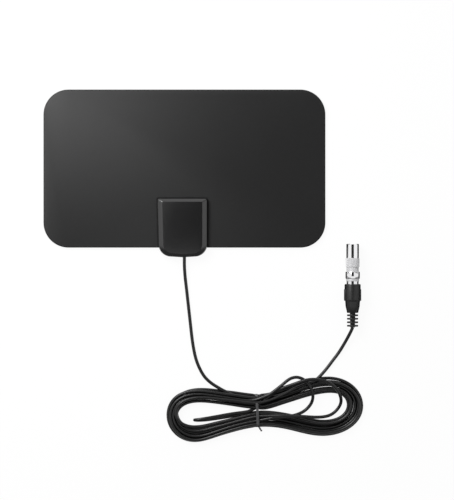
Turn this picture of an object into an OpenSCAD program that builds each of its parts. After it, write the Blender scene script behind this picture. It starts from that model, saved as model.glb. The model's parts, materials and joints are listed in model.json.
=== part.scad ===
// Flat indoor TV antenna: a thin two-plate panel with a matching-unit housing on its
// lower edge, a thin coaxial cord bundled with a twist tie, and a moulded screw-on
// coaxial plug with an aerial adapter on it. It lies on its back on a table.
// Millimetres. +Z is up, away from the table. +Y is towards the panel's upper edge.
// The origin is the middle of the panel's back face.

/* [Panel] */
// Width of the panel
panel_w = 214; // [180:1:300]
// Height of the panel
panel_h = 120; // [110:1:200]
// Corner radius of the panel
panel_corner_r = 19; // [6:0.5:30]
// Thickness of each of the two moulded plates
plate_t = 1.6; // [1.4:0.1:2.4]
// Bevel round the outer edge of each plate
plate_edge = 0.5; // [0.2:0.1:1]

/* [Foil elements] */
// Thickness of the aluminium foil
foil_t = 0.1; // [0.05:0.01:0.2]
// Distance from the panel's edge to the foil
foil_margin = 11; // [8:0.5:20]
// Width of the foil band that forms each loop
foil_band = 16; // [8:0.5:20]
// Distance from the middle of the panel to each loop
foil_inset = 20; // [19.5:0.5:24]
// Width of the tail that runs to the circuit board
foil_tail_w = 6; // [5:0.5:10]

/* [Housing] */
// Width of the housing at its upper end
cover_w = 37.3; // [35:0.1:38.5]
// Length of the housing
cover_l = 44.6; // [42:0.1:52]
// Distance that the housing stands out past the panel's lower edge
cover_overhang = 7.1; // [6.5:0.1:9]
// Height of the housing above the panel's front face
cover_h = 6; // [5.8:0.1:10]
// Wall thickness of the housing
cover_wall = 1.3; // [1:0.1:1.6]
// Width of the bevel along each side
bevel_side = 3.4; // [1.5:0.1:3.6]
// Width of the bevel at the upper end
bevel_top = 2.6; // [1:0.1:3.5]
// Width of the bevel round the cord end
bevel_end = 2; // [1:0.1:2.4]
// Corner radius at the upper end
cover_top_r = 1.5; // [1.4:0.1:3]
// Corner radius at the cord end
cover_end_r = 9.5; // [8:0.1:11]
// How far the cord end bows out between its corners
cover_bow = 0.75; // [0:0.05:1.5]
// How much narrower each side is at the cord end
cover_taper = 1.15; // [0:0.05:1.5]

/* [Screws and posts] */
// Radius of the screw thread
screw_r = 1; // [0.8:0.05:1.1]
// Radius of the screw head
screw_head_r = 1.9; // [1.6:0.05:2]
// Thickness of the screw head
screw_head_t = 0.8; // [0.6:0.05:0.8]
// Length of the screw under its head
screw_l = 5.4; // [4:0.1:5.6]
// Radius of the moulded posts that take the screws
post_r = 2.1; // [1.9:0.05:2.3]
// Distance from each side of the housing to its posts
post_from_side = 7.15; // [6.9:0.05:7.8]
// Distance from the housing's upper end to the first pair of posts
post_from_top = 6.6; // [6:0.1:7]
// Distance from the cord end to the second pair of posts
post_from_end = 14; // [12.5:0.1:15]

/* [Matching board] */
// Thickness of the circuit board
board_t = 1; // [0.8:0.1:1.6]
// Width of the ferrite core
core_w = 7; // [6:0.1:8]
// Length of the ferrite core
core_l = 4.6; // [4:0.1:6]
// Height of the ferrite core
core_h = 3.6; // [3:0.1:4]
// Radius of each hole in the ferrite core
core_hole_r = 0.95; // [0.9:0.05:1.1]
// Diameter of the winding wire
winding_d = 0.36; // [0.25:0.01:0.4]
// Radius of the contact rivets
rivet_r = 0.8; // [0.6:0.05:1]
// Radius of the rivet heads
rivet_head_r = 1.6; // [1.4:0.05:2]
// Thickness of the rivet heads
rivet_head_t = 0.5; // [0.3:0.05:0.8]

/* [Cord] */
// Diameter of the cord
cord_d = 2.4; // [2.2:0.05:2.5]
// Clearance round the cord in the housing wall
cord_gap = 0.15; // [0.05:0.05:0.3]
// Height of the bundled cord
hank_h = 6.4; // [6:0.1:8]
// Width of the twist tie
tie_w = 2.2; // [1.5:0.1:3]
// Thickness of the twist tie
tie_t = 0.6; // [0.4:0.05:0.8]

/* [Plug] */
// Length of the moulded boot
boot_l = 32.8; // [31:0.1:36]
// Radius of the boot's grip
boot_r = 6.2; // [5.6:0.05:6.3]
// Length of the boot's grip
grip_l = 13; // [12.6:0.1:14]
// Radius of the boot's waist behind the grip
waist_r = 5.4; // [5:0.05:5.5]
// Radius of the strain-relief core next to the waist
core_big_r = 2.4; // [2:0.05:2.6]
// Radius of the strain-relief core at the cord
core_small_r = 1.8; // [1.7:0.05:1.9]
// Number of strain-relief ribs
rib_n = 4; // [3:1:4]
// Distance from one rib to the next
rib_pitch = 2.7; // [2.5:0.05:2.8]
// Thickness of each rib
rib_t = 1.1; // [0.8:0.05:1.4]
// Radius of the ribs
rib_r = 4.1; // [3.6:0.05:4.4]
// Radius of the ferrule's shoulder
ferrule_r = 4.55; // [4.2:0.05:4.6]
// Length of the ferrule's shoulder
ferrule_l = 2.15; // [1.5:0.05:3]

/* [Coupling nut] */
// Width across the flats of the hexagon
nut_af = 11; // [10.8:0.05:11]
// Radius of the round rear collar
nut_collar_r = 4.9; // [4.8:0.05:5]
// Length of the round rear collar
nut_collar_l = 1.9; // [1.5:0.1:2.5]
// Running clearance between turning pieces
run_gap = 0.08; // [0.05:0.01:0.1]
// Outside radius of the screw thread
thread_r = 4.6; // [4.5:0.01:4.62]
// Pitch of the screw thread
thread_pitch = 0.794; // [0.75:0.001:0.85]
// Turns from tight to the last thread
thread_turns = 4.6; // [4.5:0.01:4.7]

/* [Adapter] */
// Length of thread that shows when the nut is tight
thread_show = 3.55; // [2:0.05:5]
// Radius of the knurled collar
knurl_r = 5.2; // [5:0.05:5.6]
// Length of the knurled collar
knurl_l = 6.85; // [5.5:0.05:9]
// Number of ridges round the collar
knurl_n = 40; // [24:2:48]
// Depth of the ridges
knurl_depth = 0.22; // [0.1:0.01:0.25]
// Radius of the aerial barrel
barrel_r = 4.75; // [4.7:0.01:4.8]
// Length of the aerial barrel
barrel_l = 10.7; // [9:0.1:12]
// Wall thickness of the aerial barrel
barrel_wall = 0.45; // [0.3:0.01:0.6]
// Radius of the centre pin
pin_r = 1.2; // [1.1:0.01:1.3]
// Distance from the mouth of the barrel back to the tip of the pin
pin_short = 1.6; // [0.5:0.1:3]
// Radius of the plug's centre wire
wire_r = 0.5; // [0.4:0.01:0.55]
// Length of wire that stands out of the ferrule
wire_l = 6.2; // [5.5:0.1:6.5]

/* [Hidden] */

// Clearance between moulded pieces that drop into each other
fit_gap = 0.15;
// Clearance between turned or pressed pieces of one assembly
seat_gap = 0.02;

front_z = 2 * plate_t;
cover_z = front_z + cover_h;
edge_y = -panel_h / 2;
end_y = edge_y - cover_overhang;
top_y = end_y + cover_l;
cord_r = cord_d / 2;
cord_z = front_z + cord_r + 0.2;
ceiling_z = cover_z - cover_wall;

post_x = cover_w / 2 - post_from_side;
post_top_y = top_y - post_from_top;
post_low_y = end_y + post_from_end;
window_gap = 0.6;
window_w = 2 * (post_x + post_r + window_gap);
window_top_y = post_top_y + post_r + window_gap;
window_low_y = post_low_y - post_r - window_gap;

board_z = plate_t + foil_t;
board_w = window_w - 2 * window_gap;
board_l = post_top_y - post_low_y - 2 * post_r - 2 * window_gap;
board_y = (post_top_y + post_low_y) / 2;
board_top = board_z + board_t;
rivet_x = board_w / 2 - rivet_head_r - 0.6;
core_y = board_y + 1;
core_dx = core_w / 4;

screw_z = screw_head_t + 0.15;

// The plug lies along Y with one corner of its nut just clear of the table
plug_x = 127.4;
nut_corner_r = nut_af / 2 / cos(30);
plug_z = nut_corner_r + 0.05;
boot_end_y = -120.4;

// Stations along the plug's axis, counted from the cord end of the boot
s_grip = boot_l - grip_l;
s_taper = s_grip - 3.8;
s_core = s_taper - 5;
s_ferrule = boot_l + ferrule_l;
s_nut = s_ferrule + 0.05;
s_hex = s_nut + nut_collar_l;
s_cavity = s_hex + 0.5;
s_flange = s_cavity + 0.1;
s_face = s_flange + 0.8;
s_thread = s_face + 0.05;
s_nut_end = s_thread + thread_turns * thread_pitch + 0.1;
nut_hex_l = s_nut_end - s_hex;
s_knurl = s_nut_end + thread_show;
s_knurl_end = s_knurl + knurl_l;
s_tip = s_knurl_end + barrel_l;
barrel_neck_r = barrel_r - barrel_wall / 2;

tie_x = 55.6;
tie_y_top = -170.3;
tie_y_low = -195.9;

// Route of the cord from its stripped end in the housing to the bundle
lead_a = [
    [0, post_low_y, cord_z], [0, end_y + 6, cord_z], [0, end_y, cord_z],
    [0, -74, 4], [0.5, -82, 2.6], [1.5, -91, 1.5], [2.5, -100, 1.2], [3.5, -109, 1.2],
    [4.5, -118, 1.2], [5.5, -127, 1.2], [6.8, -136, 1.2], [8.7, -144.5, 1.2],
    [11.4, -151.5, 1.2], [15.2, -158, 1.3], [20.5, -163, 1.8], [27, -167, 2.6],
    [32, -169.5, 3]
];
// Route of the cord from the bundle to the plug
lead_b = [
    [98, -162, 3], [102.5, -158, 2.4], [107.5, -152.5, 1.6], [112.5, -146, 1.3],
    [117, -140, 1.4], [121, -133.5, 2.4], [124.5, -127, 4.4],
    [126.6, -122.5, 6], [plug_x, boot_end_y, plug_z]
];
// Outline of the bundle and of its two eyes, seen from above
hank_line = [
    [-13.5, -186], [-9.5, -174], [0, -167.5], [11, -166.2], [33, -168.4], [55.5, -171],
    [78, -166.4], [88, -161.8], [99, -158.9], [111, -157.8], [123, -161.5],
    [132, -169.5], [135.2, -181],
    [130, -192], [118, -200], [106, -202.2], [82, -199], [55.5, -195.2], [34, -200],
    [18, -205.5], [6, -207.6], [-4, -204], [-11, -196]
];
left_eye = [
    [-5.4, -185.8], [-1, -179.5], [11, -177.6], [30, -179.5], [47, -182], [51, -183.8],
    [46, -186], [30, -189.8], [9, -194.1], [-1, -192]
];
right_eye = [
    [59, -181.9], [74, -176.8], [91, -171.7], [104, -169], [114, -168.8], [120.5, -172],
    [122, -179], [116, -186.5], [107, -190], [100, -190.3], [90, -188], [80, -185.8],
    [68, -183.2]
];

// Point on a smooth curve through b and c, with a and d as neighbours
function curve(a, b, c, d, t) =
    0.5 * (2 * b + (c - a) * t + (2 * a - 5 * b + 4 * c - d) * t * t
    + (3 * b - a - 3 * c + d) * t * t * t);

// Smooth closed line through the points, with n steps between neighbours
function smooth_loop(p, n) = [
    for (i = [0:len(p) - 1], j = [0:n - 1])
        let (m = len(p))
        curve(p[(i + m - 1) % m], p[i], p[(i + 1) % m], p[(i + 2) % m], j / n)
];

// Smooth open line through the points, with n steps between neighbours
function smooth_line(p, n) = [
    for (i = [0:len(p) - 2], j = [0:n - 1])
        curve(p[max(i - 1, 0)], p[i], p[i + 1], p[min(i + 2, len(p) - 1)], j / n),
    p[len(p) - 1]
];

function unit(v) = v / norm(v);

// Tube of radius r along a line of points, closed at both ends
module tube(line, r, sides = 8) {
    m = len(line);
    rings = [
        for (i = [0:m - 1])
            let (
                along = unit(line[min(i + 1, m - 1)] - line[max(i - 1, 0)]),
                side = unit(cross(along, [0, 0, 1])),
                up = cross(side, along)
            )
            for (k = [0:sides - 1])
                line[i] + r * (cos(360 * k / sides) * side + sin(360 * k / sides) * up)
    ];
    walls = [
        for (i = [0:m - 2], k = [0:sides - 1])
            let (a = i * sides + k, b = i * sides + (k + 1) % sides)
            each [[a, a + sides, b], [b, a + sides, b + sides]]
    ];
    start = [[for (k = [0:sides - 1]) k]];
    finish = [[for (k = [sides - 1:-1:0]) (m - 1) * sides + k]];
    polyhedron(points = rings, faces = concat(walls, start, finish), convexity = 10);
}

// Places a piece on the plug's axis at station s, with its own Z along the axis
module on_axis(s) {
    translate([plug_x, boot_end_y + s, plug_z]) rotate([-90, 0, 0]) children();
}

// Round piece on the plug's axis from [radius, station] pairs
module turned(profile) {
    on_axis(0) rotate_extrude($fn = 64) polygon(profile);
}

// Rounded plate outline with its corners at the panel's corner radius
module plate_disc(z, t, shrink) {
    dx = panel_w / 2 - panel_corner_r;
    dy = panel_h / 2 - panel_corner_r;
    for (sx = [-1, 1], sy = [-1, 1])
        translate([sx * dx, sy * dy, z])
            cylinder(r = panel_corner_r - shrink, h = t, $fn = 72);
}

// Outline of the housing, drawn in by side, top and end distances
module cover_outline(side, top, end) {
    r_top = max(cover_top_r - min(side, top) * 0.4, 0.4);
    r_end = cover_end_r - end;
    x_top = cover_w / 2 - side - r_top;
    x_end = cover_w / 2 - cover_taper - side - r_end;
    hull() {
        for (sx = [-1, 1]) {
            translate([sx * x_top, top_y - top - r_top]) circle(r = r_top, $fn = 24);
            translate([sx * x_end, end_y + end + cover_bow + r_end])
                circle(r = r_end, $fn = 48);
        }
        translate([0, end_y + end + r_end]) circle(r = r_end, $fn = 48);
    }
}

module cover_slab(z, t, side, top, end) {
    translate([0, 0, z]) linear_extrude(t) cover_outline(side, top, end);
}

// One foil loop with its tail, on the right-hand side, grown by g
module foil_shape(g) {
    x0 = foil_inset;
    x1 = panel_w / 2 - foil_margin;
    y1 = panel_h / 2 - foil_margin;
    difference() {
        translate([x0 - g, -y1 - g]) square([x1 - x0 + 2 * g, 2 * y1 + 2 * g]);
        translate([x0 + foil_band + g, -y1 + foil_band + g])
            square([x1 - x0 - 2 * (foil_band + g), 2 * (y1 - foil_band - g)]);
        // the corners follow the corner of the panel
        translate([x1 + g, y1 + g]) rotate(45) square(16, center = true);
        translate([x1 + g, -y1 - g]) rotate(45) square(16, center = true);
    }
    translate([rivet_x - rivet_head_r - g, board_y - foil_tail_w / 2 - g])
        square([x0 - rivet_x + rivet_head_r + 1 + g, foil_tail_w + 2 * g]);
}

module post_places() {
    for (sx = [-1, 1], y = [post_top_y, post_low_y]) translate([sx * post_x, y, 0]) children();
}

module front_plate() {
    color([0.1, 0.1, 0.11]) difference() {
        hull() {
            plate_disc(plate_t, plate_t - plate_edge, 0);
            plate_disc(plate_t, plate_t, plate_edge);
        }
        translate([-window_w / 2, window_low_y, plate_t - 1])
            cube([window_w, window_top_y - window_low_y, plate_t + 2]);
        for (m = [0, 1]) mirror([m, 0, 0])
            translate([0, 0, plate_t - 1]) linear_extrude(1 + foil_t + 0.02)
                foil_shape(fit_gap);
    }
}

module back_plate() {
    color([0.1, 0.1, 0.11]) difference() {
        hull() {
            plate_disc(plate_edge, plate_t - plate_edge, 0);
            plate_disc(0, plate_t, plate_edge);
        }
        cover_slab(-1, plate_t + 2, -fit_gap, -fit_gap, -fit_gap);
    }
}

module foil(m) {
    color([0.75, 0.76, 0.78]) mirror([m, 0, 0]) difference() {
        translate([0, 0, plate_t]) linear_extrude(foil_t) foil_shape(0);
        translate([rivet_x, board_y, 0]) cylinder(r = rivet_r + seat_gap, h = 10, $fn = 24);
    }
}

module left_foil() {
    foil(1);
}

module right_foil() {
    foil(0);
}

// Raised cover with bevelled sides, hollow, with a skirt below the panel's edge
module front_cover() {
    color([0.09, 0.09, 0.1]) difference() {
        union() {
            hull() {
                cover_slab(front_z, 0.7, 0, 0, 0);
                cover_slab(cover_z - 0.5, 0.2, bevel_side - 0.2, bevel_top - 0.2, bevel_end - 0.2);
                cover_slab(cover_z - 0.2, 0.2, bevel_side, bevel_top, bevel_end);
            }
            intersection() {
                cover_slab(plate_t, plate_t + 0.1, 0, 0, 0);
                translate([-cover_w, edge_y - fit_gap - cover_l, 0])
                    cube([2 * cover_w, cover_l, cover_z]);
            }
        }
        difference() {
            hull() {
                cover_slab(plate_t - 1, plate_t + 1.5, cover_wall, cover_wall, cover_wall);
                cover_slab(ceiling_z - 0.2, 0.2, bevel_side + cover_wall * 0.6,
                    bevel_top + cover_wall * 0.6, bevel_end + cover_wall * 0.6);
            }
            post_places() translate([0, 0, plate_t]) cylinder(r = post_r, h = cover_z, $fn = 32);
        }
        post_places() translate([0, 0, plate_t - 1])
            cylinder(r = screw_r + seat_gap, h = screw_l + screw_z - plate_t + 1.4, $fn = 24);
        translate([0, end_y - 1, cord_z]) rotate([-90, 0, 0])
            cylinder(r = cord_r + cord_gap, h = cover_wall + 2.6, $fn = 32);
    }
}

// Flush cover that closes the housing from behind
module rear_cover() {
    color([0.09, 0.09, 0.1]) difference() {
        hull() {
            cover_slab(0.4, plate_t - 0.4, 0, 0, 0);
            cover_slab(0, plate_t, 0.4, 0.4, 0.4);
        }
        post_places() translate([0, 0, -1]) {
            cylinder(r = screw_r + fit_gap, h = plate_t + 2, $fn = 24);
            cylinder(r = screw_head_r + fit_gap, h = screw_z + 1, $fn = 32);
        }
    }
}

module matching_board() {
    color([0.1, 0.35, 0.16]) difference() {
        translate([-board_w / 2, board_y - board_l / 2, board_z]) cube([board_w, board_l, board_t]);
        for (sx = [-1, 1]) translate([sx * rivet_x, board_y, 0])
            cylinder(r = rivet_r + seat_gap, h = 20, $fn = 24);
    }
}

// Two-hole ferrite core of the matching transformer
module balun_core() {
    color([0.2, 0.2, 0.21]) translate([0, core_y, board_top]) difference() {
        translate([-core_w / 2, -core_l / 2, 0]) cube([core_w, core_l, core_h]);
        for (sx = [-1, 1]) translate([sx * core_dx, -core_l, core_h / 2]) rotate([-90, 0, 0])
            cylinder(r = core_hole_r, h = 2 * core_l, $fn = 32);
    }
}

// Three turns of wire through the two holes of the core
module balun_winding() {
    y = core_l / 2 + winding_d / 2 + 0.05;
    color([0.72, 0.4, 0.2]) translate([0, core_y, board_top + core_h / 2])
        for (i = [-1:1]) translate([0, 0, i * winding_d * 1.3]) {
            for (sx = [-1, 1]) translate([sx * core_dx, -y, 0]) rotate([-90, 0, 0])
                cylinder(d = winding_d, h = 2 * y, $fn = 16);
            for (sy = [-1, 1]) translate([-core_dx - winding_d / 2, sy * y, 0])
                rotate([0, 90, 0]) cylinder(d = winding_d, h = 2 * core_dx + winding_d, $fn = 16);
        }
}

module contact_rivet(side) {
    color([0.7, 0.62, 0.35]) translate([side * rivet_x, board_y, 0]) {
        translate([0, 0, plate_t]) cylinder(r = rivet_r, h = board_top - plate_t + 0.1, $fn = 24);
        translate([0, 0, board_top]) cylinder(r = rivet_head_r, h = rivet_head_t, $fn = 32);
    }
}

module left_contact_rivet() {
    contact_rivet(-1);
}

module right_contact_rivet() {
    contact_rivet(1);
}

// Self-tapping screw with a cross recess, put in from behind
module cover_screw(x, y) {
    color([0.6, 0.6, 0.62]) translate([x, y, 0]) difference() {
        union() {
            translate([0, 0, screw_z - screw_head_t])
                cylinder(r = screw_head_r, h = screw_head_t, $fn = 32);
            translate([0, 0, screw_z - 0.1]) cylinder(r = screw_r, h = screw_l + 0.1, $fn = 24);
        }
        for (a = [0, 90]) rotate([0, 0, a])
            translate([-screw_head_r * 0.6, -0.2, -1]) cube([screw_head_r * 1.2, 0.4, 1.55]);
    }
}

module cover_screw_1() {
    cover_screw(-post_x, post_top_y);
}

module cover_screw_2() {
    cover_screw(post_x, post_top_y);
}

module cover_screw_3() {
    cover_screw(-post_x, post_low_y);
}

module cover_screw_4() {
    cover_screw(post_x, post_low_y);
}

// Tight plastic tie that stops the cord from being pulled out of the housing
module cord_stop() {
    wall_y = end_y + bevel_end + cover_wall * 0.6;
    color([0.85, 0.85, 0.82]) translate([0, wall_y, cord_z]) rotate([-90, 0, 0]) difference() {
        union() {
            cylinder(r = cord_r + 0.7, h = 2.2, $fn = 32);
            translate([-1.6, -cord_r - 1.5, 0]) cube([3.2, 2, 2.2]);
        }
        translate([0, 0, -1]) cylinder(r = cord_r + seat_gap, h = 5, $fn = 32);
    }
}

// Twisted braid, soldered to the board beside the stripped cord
module braid_tail() {
    color([0.72, 0.45, 0.3]) tube(smooth_line([
        [0.95, post_low_y + 0.35, cord_z - 0.3], [1.6, post_low_y + 1.6, cord_z - 0.9],
        [2, board_y - board_l / 2 + 1.2, board_top + 0.45],
        [2, board_y - board_l / 2 + 3.2, board_top + 0.45]
    ], 3), 0.45);
}

module lead_dielectric() {
    color([0.9, 0.9, 0.88]) translate([0, post_low_y, cord_z]) rotate([-90, 0, 0])
        cylinder(r = cord_r * 0.6, h = 3.6, $fn = 32);
}

// Solid wire that leaves the insulation and bends down to the board
module lead_centre_wire() {
    y0 = post_low_y + 3.6;
    color([0.8, 0.5, 0.3]) {
        translate([0, y0, cord_z]) rotate([-90, 0, 0]) cylinder(r = 0.25, h = 1.6, $fn = 16);
        translate([0, y0 + 1.6, cord_z]) sphere(r = 0.25, $fn = 16);
        translate([0, y0 + 1.6, board_top]) cylinder(r = 0.25, h = cord_z - board_top, $fn = 16);
    }
}

module lead_from_housing() {
    color([0.06, 0.06, 0.06]) tube(smooth_line(lead_a, 2), cord_r);
}

module lead_to_plug() {
    color([0.06, 0.06, 0.06]) tube(smooth_line(lead_b, 2), cord_r);
}

// Space that the twist tie takes round the bundle, grown by g
module tie_band(g) {
    translate([tie_x - tie_w / 2 - g, 0, 0]) difference() {
        translate([0, tie_y_low - 5, -5])
            cube([tie_w + 2 * g, tie_y_top - tie_y_low + 10, hank_h + 10]);
        translate([-1, tie_y_low + tie_t + g, tie_t + g])
            cube([tie_w + 2 + 2 * g, tie_y_top - tie_y_low - 2 * (tie_t + g),
                hank_h - 2 * (tie_t + g)]);
    }
}

// Bundled cord as one solid with its two eyes and the pinch at its middle
module cord_hank() {
    color([0.06, 0.06, 0.06]) difference() {
        linear_extrude(hank_h) difference() {
            polygon(smooth_loop(hank_line, 4));
            polygon(smooth_loop(left_eye, 4));
            polygon(smooth_loop(right_eye, 4));
        }
        tie_band(0.1);
    }
}

// Flat wire tie round the pinch, with its twisted tail
module twist_tie() {
    color([0.14, 0.14, 0.15]) {
        intersection() {
            tie_band(0);
            translate([tie_x - tie_w / 2, tie_y_low, 0])
                cube([tie_w, tie_y_top - tie_y_low, hank_h]);
        }
        translate([tie_x + 0.3, tie_y_low - 1.3, hank_h / 2 - 0.9]) cube([2.6, 1.5, 1.8]);
    }
}

// Moulded boot with a grip, a taper and a ribbed strain relief
module plug_boot() {
    color([0.07, 0.07, 0.07]) {
        difference() {
            union() {
                turned([
                    [0, 0], [core_small_r, 0], [core_big_r, s_core], [rib_r, s_core],
                    [waist_r - 0.15, s_taper], [waist_r, s_grip], [boot_r - 0.4, s_grip],
                    [boot_r, s_grip + 0.5], [boot_r, boot_l - 0.6], [boot_r - 0.6, boot_l],
                    [0, boot_l]
                ]);
                for (i = [0:rib_n - 1])
                    on_axis(0.2 + i * rib_pitch) difference() {
                        cylinder(r = rib_r, h = rib_t, $fn = 48);
                        // shallow flats let the ribbed end bend
                        for (sx = [-1, 1]) translate([sx * (rib_r + 4.6), 0, -1])
                            cube([10, 2.6, 2 * rib_t + 4], center = true);
                    }
            }
            on_axis(s_ferrule - 10.5) cylinder(r = 3.4 + seat_gap, h = 20, $fn = 48);
            // finger grooves across the grip, above and below
            for (i = [0:3], sy = [-1, 1])
                on_axis(s_grip + 2.6 + i * 2.4) translate([0, sy * (boot_r + 0.55), 0])
                    rotate([0, 90, 0]) cylinder(r = 0.85, h = 2 * boot_r, center = true, $fn = 24);
        }
    }
}

// Turned sleeve: crimped into the boot, with the flange that holds the nut
module plug_ferrule() {
    color([0.75, 0.75, 0.77]) turned([
        [1.8, s_ferrule - 10.5], [3.4, s_ferrule - 10.5], [3.4, boot_l],
        [ferrule_r, boot_l], [ferrule_r, s_ferrule], [3.2, s_ferrule], [3.2, s_flange],
        [4.2, s_flange], [4.2, s_face], [1.8, s_face]
    ]);
}

module plug_dielectric() {
    color([0.9, 0.9, 0.88]) difference() {
        on_axis(s_ferrule - 10.4) cylinder(r = 1.8 - seat_gap, h = s_face - s_ferrule + 10.4, $fn = 32);
        on_axis(s_face - 6) cylinder(r = wire_r + seat_gap, h = 10, $fn = 24);
    }
}

module plug_centre_wire() {
    color([0.8, 0.5, 0.3]) on_axis(s_face - 5.9) cylinder(r = wire_r, h = 5.9 + wire_l, $fn = 24);
}

// Six-sided nut with a round rear collar that turns on the ferrule
module coupling_nut() {
    color([0.78, 0.78, 0.8]) difference() {
        union() {
            intersection() {
                on_axis(s_hex) rotate([0, 0, 30])
                    cylinder(r = nut_corner_r, h = nut_hex_l, $fn = 6);
                turned([
                    [0, s_hex], [nut_af / 2 - 0.1, s_hex], [nut_corner_r + 0.1, s_hex + 0.55],
                    [nut_corner_r + 0.1, s_nut_end - 0.55], [nut_af / 2 - 0.1, s_nut_end],
                    [0, s_nut_end]
                ]);
            }
            turned([
                [0, s_nut], [nut_collar_r - 0.2, s_nut], [nut_collar_r, s_nut + 0.2],
                [nut_collar_r, s_hex + 0.2], [0, s_hex + 0.2]
            ]);
        }
        on_axis(s_nut - 1) cylinder(r = 3.2 + run_gap, h = 20, $fn = 48);
        on_axis(s_cavity) cylinder(r = thread_r + run_gap, h = 20, $fn = 48);
    }
}

// Threaded end and knurled collar of the adapter
module adapter_body() {
    in_r = knurl_r - knurl_depth;
    color([0.5, 0.5, 0.52]) difference() {
        union() {
            turned([
                [0, s_thread], [thread_r - 0.4, s_thread], [thread_r, s_thread + 0.4],
                [thread_r, s_knurl + 0.1], [0, s_knurl + 0.1]
            ]);
            intersection() {
                on_axis(s_knurl) linear_extrude(knurl_l) polygon([
                    for (i = [0:knurl_n - 1], k = [0, 1, 2])
                        let (a = 360 * (i + k * 0.3) / knurl_n, r = k == 1 ? knurl_r : in_r)
                        [r * cos(a), r * sin(a)]
                ]);
                turned([
                    [0, s_knurl], [in_r - 0.1, s_knurl], [knurl_r + 0.1, s_knurl + 0.4],
                    [knurl_r + 0.1, s_knurl_end - 0.4], [in_r - 0.1, s_knurl_end],
                    [0, s_knurl_end]
                ]);
            }
        }
        on_axis(s_thread - 1) cylinder(r = 3.4, h = 30, $fn = 48);
        on_axis(s_knurl_end - 3) cylinder(r = barrel_neck_r + seat_gap, h = 10, $fn = 48);
    }
}

// Bright barrel, pressed into the collar
module adapter_sleeve() {
    in_r = barrel_r - barrel_wall;
    color([0.85, 0.85, 0.87]) turned([
        [in_r, s_knurl_end - 3], [barrel_neck_r, s_knurl_end - 3],
        [barrel_neck_r, s_knurl_end], [barrel_r, s_knurl_end], [barrel_r, s_tip - 0.35],
        [barrel_r - 0.3, s_tip], [in_r, s_tip]
    ]);
}

module adapter_insulator() {
    color([0.9, 0.9, 0.88]) turned([
        [pin_r + seat_gap, s_thread + 0.8], [3.4 - seat_gap, s_thread + 0.8],
        [3.4 - seat_gap, s_knurl_end - 2.98], [barrel_r - barrel_wall - seat_gap, s_knurl_end - 2.98],
        [barrel_r - barrel_wall - seat_gap, s_knurl_end - 0.2], [pin_r + seat_gap, s_knurl_end - 0.2]
    ]);
}

// Centre contact: a socket for the plug's wire at one end, the aerial pin at the other
module adapter_pin() {
    color([0.8, 0.8, 0.82]) turned([
        [wire_r + 0.15, s_thread + 1.4], [pin_r, s_thread + 1.4], [pin_r, s_tip - pin_short - 0.8],
        [pin_r * 0.55, s_tip - pin_short], [0, s_tip - pin_short], [0, s_thread + 9.5],
        [wire_r + 0.15, s_thread + 9.5]
    ]);
}

front_plate();
back_plate();
left_foil();
right_foil();
front_cover();
rear_cover();
matching_board();
balun_core();
balun_winding();
left_contact_rivet();
right_contact_rivet();
cover_screw_1();
cover_screw_2();
cover_screw_3();
cover_screw_4();
cord_stop();
braid_tail();
lead_dielectric();
lead_centre_wire();
lead_from_housing();
cord_hank();
twist_tie();
lead_to_plug();
plug_boot();
plug_ferrule();
plug_dielectric();
plug_centre_wire();
coupling_nut();
adapter_body();
adapter_sleeve();
adapter_insulator();
adapter_pin();
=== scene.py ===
# %% [markdown]
# # A flat indoor antenna, its bundled cord and its plug
# The real object is a thin moulded panel with two foil loops inside. A small housing is
# clipped over its lower edge, and three metres of thin coaxial cord end in a plug with a
# coupling nut and an aerial adapter. The hard parts come from an engineering model, which
# is loaded here and never changed. Blender adds what that model leaves plain: the single
# strands of the cord, the wire tie round them, the ridges of the thread, the true bevels of
# the housing, the rounded boot and nut, and the finishes.

import json
import math

import bpy
import numpy as np
from mathutils import Matrix, Vector


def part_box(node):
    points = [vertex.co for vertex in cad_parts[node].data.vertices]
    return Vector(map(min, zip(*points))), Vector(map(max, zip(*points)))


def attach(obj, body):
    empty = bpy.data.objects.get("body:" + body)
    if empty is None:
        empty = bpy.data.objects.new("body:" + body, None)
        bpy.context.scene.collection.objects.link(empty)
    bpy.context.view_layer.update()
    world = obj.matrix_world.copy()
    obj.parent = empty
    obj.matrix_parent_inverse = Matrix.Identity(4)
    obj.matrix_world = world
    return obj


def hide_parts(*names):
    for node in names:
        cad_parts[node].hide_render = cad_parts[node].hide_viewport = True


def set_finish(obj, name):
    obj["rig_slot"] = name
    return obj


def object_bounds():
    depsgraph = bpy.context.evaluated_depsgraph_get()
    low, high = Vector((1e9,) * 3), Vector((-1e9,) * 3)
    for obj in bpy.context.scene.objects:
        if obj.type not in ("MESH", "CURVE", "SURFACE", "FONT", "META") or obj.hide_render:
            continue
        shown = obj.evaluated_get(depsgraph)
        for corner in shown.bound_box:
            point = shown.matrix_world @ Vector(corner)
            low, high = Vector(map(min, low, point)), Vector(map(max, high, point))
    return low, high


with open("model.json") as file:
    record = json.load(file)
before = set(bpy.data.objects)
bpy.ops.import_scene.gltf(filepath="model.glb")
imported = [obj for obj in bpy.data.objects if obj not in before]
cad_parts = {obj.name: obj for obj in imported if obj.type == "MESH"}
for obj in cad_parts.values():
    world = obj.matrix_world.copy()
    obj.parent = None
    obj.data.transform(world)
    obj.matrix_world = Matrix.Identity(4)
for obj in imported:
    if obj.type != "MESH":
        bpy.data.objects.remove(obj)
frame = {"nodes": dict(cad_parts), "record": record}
nodes = frame["nodes"]
MM = 0.001
cad_low, cad_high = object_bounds()
print("nodes:", len(nodes), "box in mm:", [round(v / MM, 1) for v in cad_high - cad_low])

# %% [markdown]
# ## The camera
# The antenna lies on its back and is seen from straight above, so the camera looks down the
# Z axis. The plug stands at the edge of the picture, and still both sides of its six-sided
# nut look alike, so the camera is far away: 1.5 m. From 60 cm its left flat would show too.
# The lens then follows from the width that has to fit.

# %% Place the camera
view_centre = Vector((32.3, -61.8, 3.2)) * MM
view_height = 379.4 * MM
camera_distance = 1500 * MM
sensor = 36.0

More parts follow.
